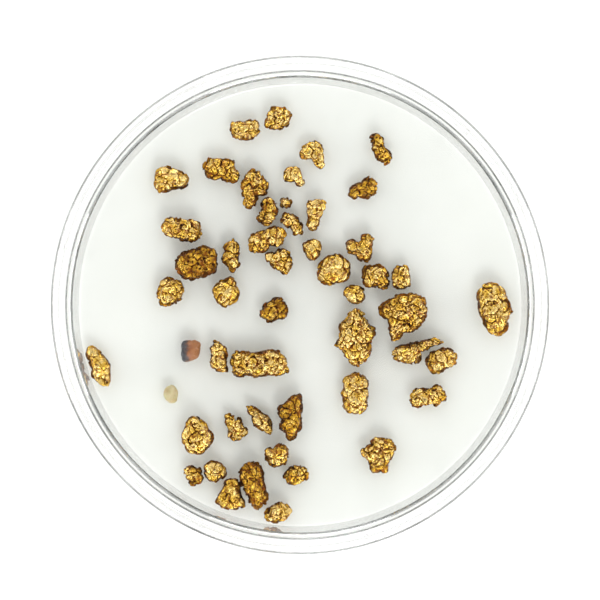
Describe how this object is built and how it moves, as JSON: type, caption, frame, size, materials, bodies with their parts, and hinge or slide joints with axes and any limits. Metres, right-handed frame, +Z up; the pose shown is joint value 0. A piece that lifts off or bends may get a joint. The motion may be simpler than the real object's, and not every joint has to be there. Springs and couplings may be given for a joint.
{
  "type": "sample dish with gold nuggets",
  "caption": "Round shallow clear plastic sample dish with a lift-off vented lid, holding loose natural gold nuggets and two small stones.",
  "frame": {"origin": "centre of the dish's flat underside", "axes": "+Z up through the lid; +X to the right and +Y to the top as the picture shows the dish from above"},
  "size_m": [0.09, 0.09, 0.0155],
  "materials": {
    "clear_plastic": "clear moulded polystyrene, polished, with fine handling scratches",
    "native_gold": "natural gold, water-worn and pitted, dark brown iron stain in the hollows",
    "garnet": "water-worn, half rusty red and half dark grey",
    "quartz": "frosted, pale yellow"
  },
  "bodies": {
    "dish": {"dish_base": "clear_plastic"},
    "lid": {"dish_lid": "clear_plastic"},
    "loose_nugget_01": {"gold_nugget_01": "native_gold"},
    "loose_nugget_02": {"gold_nugget_02": "native_gold"},
    "loose_nugget_03": {"gold_nugget_03": "native_gold"},
    "loose_nugget_04": {"gold_nugget_04": "native_gold"},
    "loose_nugget_05": {"gold_nugget_05": "native_gold"},
    "loose_nugget_06": {"gold_nugget_06": "native_gold"},
    "loose_nugget_07": {"gold_nugget_07": "native_gold"},
    "loose_nugget_08": {"gold_nugget_08": "native_gold"},
    "loose_nugget_09": {"gold_nugget_09": "native_gold"},
    "loose_nugget_10": {"gold_nugget_10": "native_gold"},
    "loose_nugget_11": {"gold_nugget_11": "native_gold"},
    "loose_nugget_12": {"gold_nugget_12": "native_gold"},
    "loose_nugget_13": {"gold_nugget_13": "native_gold"},
    "loose_nugget_14": {"gold_nugget_14": "native_gold"},
    "loose_nugget_15": {"gold_nugget_15": "native_gold"},
    "loose_nugget_16": {"gold_nugget_16": "native_gold"},
    "loose_nugget_17": {"gold_nugget_17": "native_gold"},
    "loose_nugget_18": {"gold_nugget_18": "native_gold"},
    "loose_nugget_19": {"gold_nugget_19": "native_gold"},
    "loose_nugget_20": {"gold_nugget_20": "native_gold"},
    "loose_nugget_21": {"gold_nugget_21": "native_gold"},
    "loose_nugget_22": {"gold_nugget_22": "native_gold"},
    "loose_nugget_23": {"gold_nugget_23": "native_gold"},
    "loose_nugget_24": {"gold_nugget_24": "native_gold"},
    "loose_nugget_25": {"gold_nugget_25": "native_gold"},
    "loose_nugget_26": {"gold_nugget_26": "native_gold"},
    "loose_nugget_27": {"gold_nugget_27": "native_gold"},
    "loose_nugget_28": {"gold_nugget_28": "native_gold"},
    "loose_nugget_29": {"gold_nugget_29": "native_gold"},
    "loose_nugget_30": {"gold_nugget_30": "native_gold"},
    "loose_nugget_31": {"gold_nugget_31": "native_gold"},
    "loose_nugget_32": {"gold_nugget_32": "native_gold"},
    "loose_nugget_33": {"gold_nugget_33": "native_gold"},
    "loose_nugget_34": {"gold_nugget_34": "native_gold"},
    "loose_nugget_35": {"gold_nugget_35": "native_gold"},
    "loose_nugget_36": {"gold_nugget_36": "native_gold"},
    "loose_nugget_37": {"gold_nugget_37": "native_gold"},
    "loose_nugget_38": {"gold_nugget_38": "native_gold"},
    "loose_nugget_39": {"gold_nugget_39": "native_gold"},
    "loose_nugget_40": {"gold_nugget_40": "native_gold"},
    "loose_nugget_41": {"gold_nugget_41": "native_gold"},
    "loose_nugget_42": {"gold_nugget_42": "native_gold"},
    "loose_nugget_43": {"gold_nugget_43": "native_gold"},
    "loose_nugget_44": {"gold_nugget_44": "native_gold"},
    "loose_nugget_45": {"gold_nugget_45": "native_gold"},
    "loose_nugget_46": {"gold_nugget_46": "native_gold"},
    "loose_nugget_47": {"gold_nugget_47": "native_gold"},
    "loose_nugget_48": {"gold_nugget_48": "native_gold"},
    "loose_nugget_49": {"gold_nugget_49": "native_gold"},
    "loose_garnet": {"garnet_pebble": "garnet"},
    "loose_quartz": {"quartz_grain": "quartz"}
  },
  "joints": [
    {"name": "dish_lid_lift", "type": "slide", "parent": "dish", "child": "lid", "axis": [0, 0, 1], "range_m": [0, 0.04]},
    {"name": "loose_nugget_01_lift", "type": "slide", "parent": "dish", "child": "loose_nugget_01", "axis": [0, 0, 1], "range_m": [0, 0.01]},
    {"name": "loose_nugget_02_lift", "type": "slide", "parent": "dish", "child": "loose_nugget_02", "axis": [0, 0, 1], "range_m": [0, 0.0098]},
    {"name": "loose_nugget_03_lift", "type": "slide", "parent": "dish", "child": "loose_nugget_03", "axis": [0, 0, 1], "range_m": [0, 0.0096]},
    {"name": "loose_nugget_04_lift", "type": "slide", "parent": "dish", "child": "loose_nugget_04", "axis": [0, 0, 1], "range_m": [0, 0.0098]},
    {"name": "loose_nugget_05_lift", "type": "slide", "parent": "dish", "child": "loose_nugget_05", "axis": [0, 0, 1], "range_m": [0, 0.0094]},
    {"name": "loose_nugget_06_lift", "type": "slide", "parent": "dish", "child": "loose_nugget_06", "axis": [0, 0, 1], "range_m": [0, 0.0108]},
    {"name": "loose_nugget_07_lift", "type": "slide", "parent": "dish", "child": "loose_nugget_07", "axis": [0, 0, 1], "range_m": [0, 0.0096]},
    {"name": "loose_nugget_08_lift", "type": "slide", "parent": "dish", "child": "loose_nugget_08", "axis": [0, 0, 1], "range_m": [0, 0.0106]},
    {"name": "loose_nugget_09_lift", "type": "slide", "parent": "dish", "child": "loose_nugget_09", "axis": [0, 0, 1], "range_m": [0, 0.0102]},
    {"name": "loose_nugget_10_lift", "type": "slide", "parent": "dish", "child": "loose_nugget_10", "axis": [0, 0, 1], "range_m": [0, 0.0092]},
    {"name": "loose_nugget_11_lift", "type": "slide", "parent": "dish", "child": "loose_nugget_11", "axis": [0, 0, 1], "range_m": [0, 0.0096]},
    {"name": "loose_nugget_12_lift", "type": "slide", "parent": "dish", "child": "loose_nugget_12", "axis": [0, 0, 1], "range_m": [0, 0.0092]},
    {"name": "loose_nugget_13_lift", "type": "slide", "parent": "dish", "child": "loose_nugget_13", "axis": [0, 0, 1], "range_m": [0, 0.0082]},
    {"name": "loose_nugget_14_lift", "type": "slide", "parent": "dish", "child": "loose_nugget_14", "axis": [0, 0, 1], "range_m": [0, 0.01]},
    {"name": "loose_nugget_15_lift", "type": "slide", "parent": "dish", "child": "loose_nugget_15", "axis": [0, 0, 1], "range_m": [0, 0.0096]},
    {"name": "loose_nugget_16_lift", "type": "slide", "parent": "dish", "child": "loose_nugget_16", "axis": [0, 0, 1], "range_m": [0, 0.0096]},
    {"name": "loose_nugget_17_lift", "type": "slide", "parent": "dish", "child": "loose_nugget_17", "axis": [0, 0, 1], "range_m": [0, 0.0098]},
    {"name": "loose_nugget_18_lift", "type": "slide", "parent": "dish", "child": "loose_nugget_18", "axis": [0, 0, 1], "range_m": [0, 0.0106]},
    {"name": "loose_nugget_19_lift", "type": "slide", "parent": "dish", "child": "loose_nugget_19", "axis": [0, 0, 1], "range_m": [0, 0.0102]},
    {"name": "loose_nugget_20_lift", "type": "slide", "parent": "dish", "child": "loose_nugget_20", "axis": [0, 0, 1], "range_m": [0, 0.01]},
    {"name": "loose_nugget_21_lift", "type": "slide", "parent": "dish", "child": "loose_nugget_21", "axis": [0, 0, 1], "range_m": [0, 0.01]},
    {"name": "loose_nugget_22_lift", "type": "slide", "parent": "dish", "child": "loose_nugget_22", "axis": [0, 0, 1], "range_m": [0, 0.01]},
    {"name": "loose_nugget_23_lift", "type": "slide", "parent": "dish", "child": "loose_nugget_23", "axis": [0, 0, 1], "range_m": [0, 0.0092]},
    {"name": "loose_nugget_24_lift", "type": "slide", "parent": "dish", "child": "loose_nugget_24", "axis": [0, 0, 1], "range_m": [0, 0.0096]},
    {"name": "loose_nugget_25_lift", "type": "slide", "parent": "dish", "child": "loose_nugget_25", "axis": [0, 0, 1], "range_m": [0, 0.0094]},
    {"name": "loose_nugget_26_lift", "type": "slide", "parent": "dish", "child": "loose_nugget_26", "axis": [0, 0, 1], "range_m": [0, 0.0098]},
    {"name": "loose_nugget_27_lift", "type": "slide", "parent": "dish", "child": "loose_nugget_27", "axis": [0, 0, 1], "range_m": [0, 0.0102]},
    {"name": "loose_nugget_28_lift", "type": "slide", "parent": "dish", "child": "loose_nugget_28", "axis": [0, 0, 1], "range_m": [0, 0.0076]},
    {"name": "loose_nugget_29_lift", "type": "slide", "parent": "dish", "child": "loose_nugget_29", "axis": [0, 0, 1], "range_m": [0, 0.009]},
    {"name": "loose_nugget_30_lift", "type": "slide", "parent": "dish", "child": "loose_nugget_30", "axis": [0, 0, 1], "range_m": [0, 0.0094]},
    {"name": "loose_nugget_31_lift", "type": "slide", "parent": "dish", "child": "loose_nugget_31", "axis": [0, 0, 1], "range_m": [0, 0.009]},
    {"name": "loose_nugget_32_lift", "type": "slide", "parent": "dish", "child": "loose_nugget_32", "axis": [0, 0, 1], "range_m": [0, 0.0086]},
    {"name": "loose_nugget_33_lift", "type": "slide", "parent": "dish", "child": "loose_nugget_33", "axis": [0, 0, 1], "range_m": [0, 0.009]},
    {"name": "loose_nugget_34_lift", "type": "slide", "parent": "dish", "child": "loose_nugget_34", "axis": [0, 0, 1], "range_m": [0, 0.0098]},
    {"name": "loose_nugget_35_lift", "type": "slide", "parent": "dish", "child": "loose_nugget_35", "axis": [0, 0, 1], "range_m": [0, 0.0094]},
    {"name": "loose_nugget_36_lift", "type": "slide", "parent": "dish", "child": "loose_nugget_36", "axis": [0, 0, 1], "range_m": [0, 0.0096]},
    {"name": "loose_nugget_37_lift", "type": "slide", "parent": "dish", "child": "loose_nugget_37", "axis": [0, 0, 1], "range_m": [0, 0.0094]},
    {"name": "loose_nugget_38_lift", "type": "slide", "parent": "dish", "child": "loose_nugget_38", "axis": [0, 0, 1], "range_m": [0, 0.0084]},
    {"name": "loose_nugget_39_lift", "type": "slide", "parent": "dish", "child": "loose_nugget_39", "axis": [0, 0, 1], "range_m": [0, 0.0088]},
    {"name": "loose_nugget_40_lift", "type": "slide", "parent": "dish", "child": "loose_nugget_40", "axis": [0, 0, 1], "range_m": [0, 0.0104]},
    {"name": "loose_nugget_41_lift", "type": "slide", "parent": "dish", "child": "loose_nugget_41", "axis": [0, 0, 1], "range_m": [0, 0.0102]},
    {"name": "loose_nugget_42_lift", "type": "slide", "parent": "dish", "child": "loose_nugget_42", "axis": [0, 0, 1], "range_m": [0, 0.0088]},
    {"name": "loose_nugget_43_lift", "type": "slide", "parent": "dish", "child": "loose_nugget_43", "axis": [0, 0, 1], "range_m": [0, 0.0096]},
    {"name": "loose_nugget_44_lift", "type": "slide", "parent": "dish", "child": "loose_nugget_44", "axis": [0, 0, 1], "range_m": [0, 0.0102]},
    {"name": "loose_nugget_45_lift", "type": "slide", "parent": "dish", "child": "loose_nugget_45", "axis": [0, 0, 1], "range_m": [0, 0.0104]},
    {"name": "loose_nugget_46_lift", "type": "slide", "parent": "dish", "child": "loose_nugget_46", "axis": [0, 0, 1], "range_m": [0, 0.0098]},
    {"name": "loose_nugget_47_lift", "type": "slide", "parent": "dish", "child": "loose_nugget_47", "axis": [0, 0, 1], "range_m": [0, 0.009]},
    {"name": "loose_nugget_48_lift", "type": "slide", "parent": "dish", "child": "loose_nugget_48", "axis": [0, 0, 1], "range_m": [0, 0.0082]},
    {"name": "loose_nugget_49_lift", "type": "slide", "parent": "dish", "child": "loose_nugget_49", "axis": [0, 0, 1], "range_m": [0, 0.0096]},
    {"name": "loose_garnet_lift", "type": "slide", "parent": "dish", "child": "loose_garnet", "axis": [0, 0, 1], "range_m": [0, 0.0098]},
    {"name": "loose_quartz_lift", "type": "slide", "parent": "dish", "child": "loose_quartz", "axis": [0, 0, 1], "range_m": [0, 0.0106]}
  ]
}
